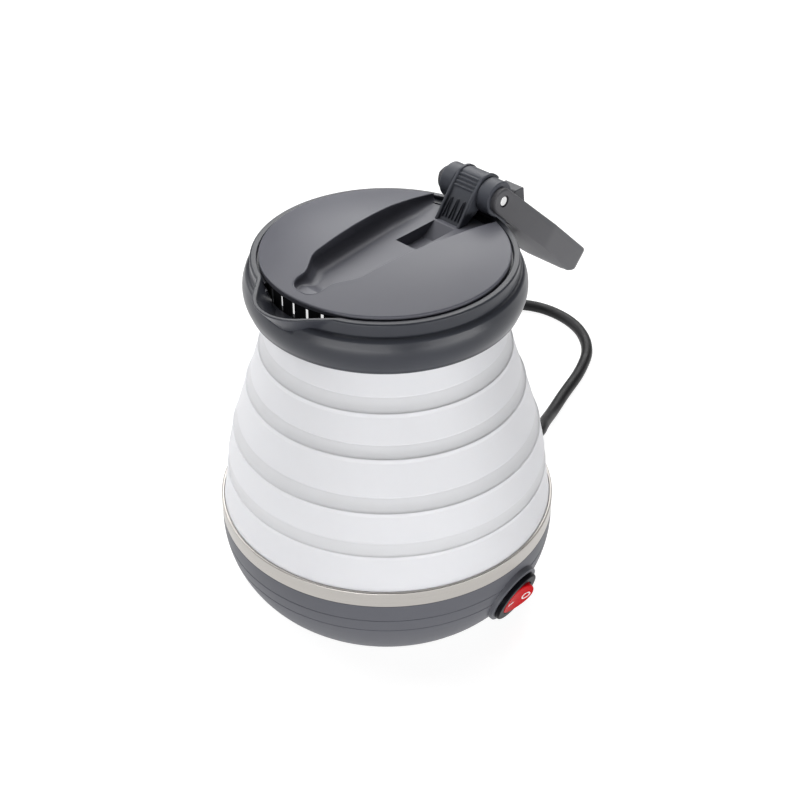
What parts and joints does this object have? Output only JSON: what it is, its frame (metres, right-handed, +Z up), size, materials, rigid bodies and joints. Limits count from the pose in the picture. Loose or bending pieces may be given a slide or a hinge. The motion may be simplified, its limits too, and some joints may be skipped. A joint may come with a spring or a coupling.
{
  "type": "collapsible kettle",
  "caption": "Collapsible travel kettle with a heated base, folding silicone wall, spouted collar, hinged lid and fold-away handle, rocker switch and mains cord.",
  "frame": {"origin": "on the surface it stands on, under the middle of the round body", "axes": "+Z up, spout towards -Y, hinge and handle towards +Y, switch towards +X"},
  "size_m": [0.2184, 0.2747, 0.1706],
  "materials": {
    "grey_plastic": "fine matte",
    "dark_grey_plastic": "fine matte",
    "light_grey_plastic": "fine matte",
    "white_plastic": "plain",
    "black_plastic": "semi gloss",
    "red_plastic": "gloss",
    "rubber_dark": "matte",
    "cord_black": "satin",
    "silicone": "matte white silicone",
    "steel": "plain",
    "brushed_steel": "brushed round",
    "aluminium": "cast"
  },
  "bodies": {
    "base": {"base_housing": "grey_plastic", "bottom_cover": "grey_plastic", "feet": "rubber_dark", "cover_screws": "steel", "steel_trim_ring": "brushed_steel", "heating_plate": "brushed_steel", "element_plate": "aluminium", "heating_element": "steel", "pan_screws": "steel", "thermostat_bracket": "steel", "thermostat_discs": "steel", "thermal_fuse": "steel", "terminal_block": "white_plastic", "internal_wires": "cord_black", "switch_body": "black_plastic", "switch_terminals": "steel", "band_4": "silicone", "fold_4": "silicone", "band_3": "silicone", "fold_3": "silicone", "strain_relief": "cord_black", "cord_lead": "cord_black", "cord_coil": "cord_black", "cord_tail": "cord_black", "plug_body": "black_plastic", "plug_pins": "steel", "plug_earth_clips": "steel"},
    "lower_band": {"band_2": "silicone", "fold_2": "silicone"},
    "upper_band": {"band_1": "silicone", "fold_1": "silicone"},
    "collar_body": {"neck": "silicone", "clamp_ring": "grey_plastic", "collar": "grey_plastic", "spout_strainer": "grey_plastic", "hinge_pin": "steel"},
    "lid": {"lid_cover": "light_grey_plastic", "lid_liner": "light_grey_plastic", "lid_seal": "silicone", "lid_arm": "dark_grey_plastic"},
    "handle_body": {"handle": "dark_grey_plastic", "handle_cover": "dark_grey_plastic", "handle_screws": "steel", "button_spring": "steel"},
    "button": {"release_button": "dark_grey_plastic"},
    "rocker": {"switch_rocker": "red_plastic"}
  },
  "joints": [
    {"name": "lower_band_slide", "type": "slide", "parent": "base", "child": "lower_band", "axis": [0, 0, -1], "range_m": [0, 0.019], "deforming": ["fold_3"]},
    {"name": "upper_band_slide", "type": "slide", "parent": "lower_band", "child": "upper_band", "axis": [0, 0, -1], "range_m": [0, 0.019], "deforming": ["fold_2"]},
    {"name": "collar_slide", "type": "slide", "parent": "upper_band", "child": "collar_body", "axis": [0, 0, -1], "range_m": [0, 0.012], "deforming": ["fold_1"]},
    {"name": "lid_hinge", "type": "hinge", "parent": "collar_body", "child": "lid", "pos_m": [0, 0.0518, 0.1621], "axis": [-1, 0, 0], "range_deg": [0, 75]},
    {"name": "handle_hinge", "type": "hinge", "parent": "collar_body", "child": "handle_body", "pos_m": [0, 0.0518, 0.1621], "axis": [1, 0, 0], "range_deg": [0, 224]},
    {"name": "button_slide", "type": "slide", "parent": "handle_body", "child": "button", "axis": [0, -0.6717, -0.7408], "range_m": [0, 0.002], "stiffness_N_per_m": 800, "springref_m": -0.002},
    {"name": "rocker_hinge", "type": "hinge", "parent": "base", "child": "rocker", "pos_m": [0.06854, 0.00479, 0.01736], "axis": [0.3083, 0.0216, 0.9511], "range_deg": [0, 18]}
  ],
  "couplings": [
    {"joint": "upper_band_slide", "follows": "lower_band_slide", "ratio": 1},
    {"joint": "collar_slide", "follows": "lower_band_slide", "ratio": 0.63158}
  ]
}
